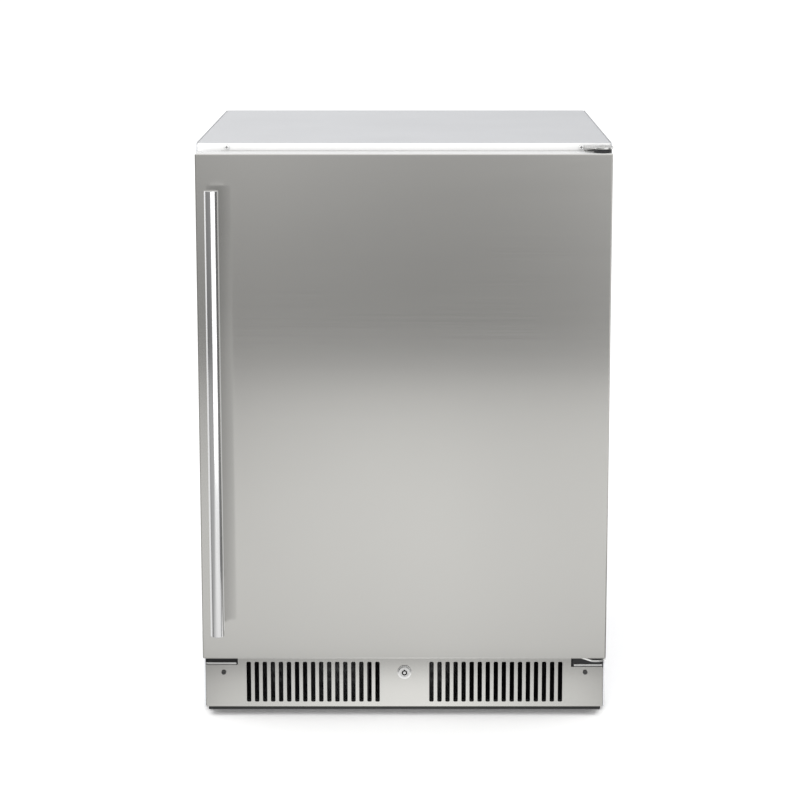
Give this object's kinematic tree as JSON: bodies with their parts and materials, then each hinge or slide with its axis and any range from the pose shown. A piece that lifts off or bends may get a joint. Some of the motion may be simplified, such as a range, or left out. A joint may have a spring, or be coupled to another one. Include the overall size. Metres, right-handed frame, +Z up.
{
  "type": "undercounter refrigerator",
  "caption": "Undercounter refrigerator with a right-hinged steel door, a full-height tubular handle, a louvred kick panel with a key lock, and a rear machine bay.",
  "frame": {"origin": "centre of the overall bounding box on the floor, under the feet", "axes": "+Z up, -Y towards the user in front of the door, +X towards the hinge side"},
  "size_m": [0.597, 0.665, 0.85],
  "materials": {
    "stainless": "fine horizontal brushing",
    "polished_steel": "satin polished",
    "coated_side": "satin powder coat",
    "coated_top": "satin powder coat",
    "galvanised": "galvanised",
    "black_steel": "semi-gloss black enamel",
    "dark_zinc": "zinc plated",
    "foam": "closed-cell foam",
    "white_liner": "vacuum-formed, satin",
    "white_plastic": "moulded",
    "bin_plastic": "moulded, slightly translucent",
    "grey_rubber": "soft magnetic gasket",
    "black_rubber": "moulded",
    "black_plastic": "moulded",
    "grey_plastic": "moulded",
    "motor_metal": "laminated steel and resin",
    "copper": "drawn copper, slightly oxidised",
    "aluminium": "mill finish",
    "shelf_wire": "electropolished stainless wire",
    "lens": "frosted"
  },
  "bodies": {
    "cabinet": {"left_side_panel": "coated_side", "right_side_panel": "coated_side", "top_panel": "coated_top", "back_panel": "galvanised", "front_frame": "stainless", "cabinet_foam": "foam", "inner_liner": "white_liner", "bay_panel": "galvanised", "base_frame": "black_steel", "kick_grille": "stainless", "cabinet_screws": "dark_zinc", "left_hinge_blanks": "stainless", "top_hinge_plate": "stainless", "bottom_hinge_plate": "stainless", "hinge_pins": "polished_steel", "hinge_screws": "dark_zinc", "lock_housing": "polished_steel", "lock_nut": "polished_steel", "rear_cover": "galvanised", "compressor": "black_steel", "compressor_grommets": "black_rubber", "compressor_bolts": "dark_zinc", "start_relay_box": "black_plastic", "condenser_tubes": "copper", "condenser_fins": "aluminium", "condenser_fan_shroud": "black_plastic", "condenser_fan_motor": "motor_metal", "filter_drier": "copper", "high_side_lines": "copper", "suction_line": "copper", "drip_tray": "black_plastic", "drain_tube": "white_plastic", "air_baffle": "black_steel", "power_inlet": "black_plastic", "evaporator_cover": "white_plastic", "evaporator_coil": "aluminium", "evaporator_fan_motor": "motor_metal", "shelf_lower": "shelf_wire", "shelf_middle": "shelf_wire", "shelf_upper": "shelf_wire", "control_housing": "white_plastic", "lamp_lens": "lens", "rear_glides": "black_plastic"},
    "door": {"door_skin": "stainless", "door_foam": "foam", "door_liner": "white_liner", "door_gasket": "grey_rubber", "handle_bar": "polished_steel", "handle_posts": "polished_steel", "door_bushes": "black_plastic", "lock_strike": "galvanised"},
    "bin_lower": {"door_bin_lower": "bin_plastic"},
    "bin_middle": {"door_bin_middle": "bin_plastic"},
    "bin_upper": {"door_bin_upper": "bin_plastic"},
    "lock": {"lock_plug": "polished_steel"},
    "condenser_fan": {"condenser_fan_blade": "black_plastic"},
    "evaporator_fan": {"evaporator_fan_blade": "grey_plastic"},
    "thermostat": {"thermostat_knob": "grey_plastic"},
    "foot_left": {"foot_left": "black_plastic"},
    "foot_right": {"foot_right": "black_plastic"}
  },
  "joints": [
    {"name": "door_hinge", "type": "hinge", "parent": "cabinet", "child": "door", "pos_m": [0.283, -0.2625, 0.468], "axis": [0, 0, 1], "range_deg": [0, 110]},
    {"name": "bin_lower_lift", "type": "slide", "parent": "door", "child": "bin_lower", "axis": [0, 0, 1], "range_m": [0, 0.025]},
    {"name": "bin_middle_lift", "type": "slide", "parent": "door", "child": "bin_middle", "axis": [0, 0, 1], "range_m": [0, 0.025]},
    {"name": "bin_upper_lift", "type": "slide", "parent": "door", "child": "bin_upper", "axis": [0, 0, 1], "range_m": [0, 0.025]},
    {"name": "lock_turn", "type": "hinge", "parent": "cabinet", "child": "lock", "pos_m": [0, -0.22, 0.0596], "axis": [0, 1, 0], "range_deg": [0, 90]},
    {"name": "condenser_fan_spin", "type": "hinge", "parent": "cabinet", "child": "condenser_fan", "pos_m": [-0.04, 0.2325, 0.142], "axis": [1, 0, 0], "continuous": true},
    {"name": "evaporator_fan_spin", "type": "hinge", "parent": "cabinet", "child": "evaporator_fan", "pos_m": [0, 0.2585, 0.64], "axis": [0, 1, 0], "continuous": true},
    {"name": "thermostat_turn", "type": "hinge", "parent": "cabinet", "child": "thermostat", "pos_m": [0.055, -0.13, 0.787], "axis": [0, 1, 0], "range_deg": [0, 270]},
    {"name": "foot_left_screw_out", "type": "slide", "parent": "cabinet", "child": "foot_left", "axis": [0, 0, -1], "range_m": [0, 0.02]},
    {"name": "foot_right_screw_out", "type": "slide", "parent": "cabinet", "child": "foot_right", "axis": [0, 0, -1], "range_m": [0, 0.02]}
  ]
}
